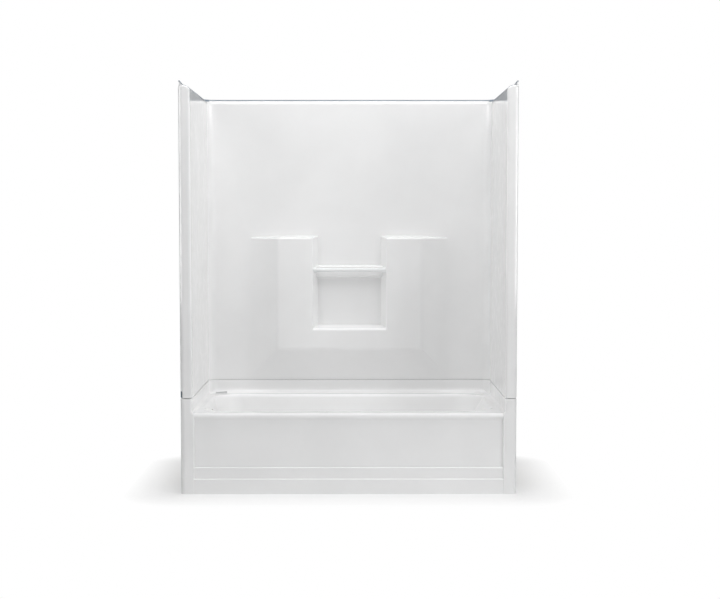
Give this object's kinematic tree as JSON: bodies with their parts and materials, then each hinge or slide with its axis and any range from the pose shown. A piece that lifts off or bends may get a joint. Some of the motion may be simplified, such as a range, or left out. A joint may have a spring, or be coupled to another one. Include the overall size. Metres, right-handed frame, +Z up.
{
  "type": "shower insert",
  "caption": "White alcove bath and shower unit: a bath with a front panel under a three-wall surround with shelves, a niche and a washcloth bar.",
  "frame": {"origin": "middle of the bounding box at floor level, under the middle of the bath", "axes": "+Z up, +X to the right when facing the open front, +Y from the open front to the back wall; the open front faces -Y"},
  "size_m": [1.524, 0.762, 1.866],
  "materials": {
    "gelcoat": "glossy white gelcoat over glass-fibre laminate",
    "bar": "glossy white acrylic",
    "gasket": "closed-cell foam strip",
    "steel": "zinc plated",
    "board": "raw strand board",
    "timber": "raw softwood"
  },
  "bodies": {
    "root": {"tub_shell": "gelcoat", "surround_shell": "gelcoat", "washcloth_bar": "bar", "bar_socket_left": "bar", "bar_socket_right": "bar", "seam_gasket": "gasket", "seam_bolts": "steel", "seam_washers": "steel", "seam_nuts": "steel", "floor_board": "board", "floor_runner_left": "timber", "floor_runner_middle": "timber", "floor_runner_right": "timber", "panel_bottom_rail": "timber", "panel_post_left": "timber", "panel_post_right": "timber", "front_rim_rail": "timber", "rear_rim_rail": "timber", "back_rib_left": "timber", "back_rib_right": "timber", "back_board": "board", "side_board_lower_left": "board", "side_board_lower_right": "board", "side_board_upper_left": "board", "side_board_upper_right": "board"}
  },
  "joints": []
}
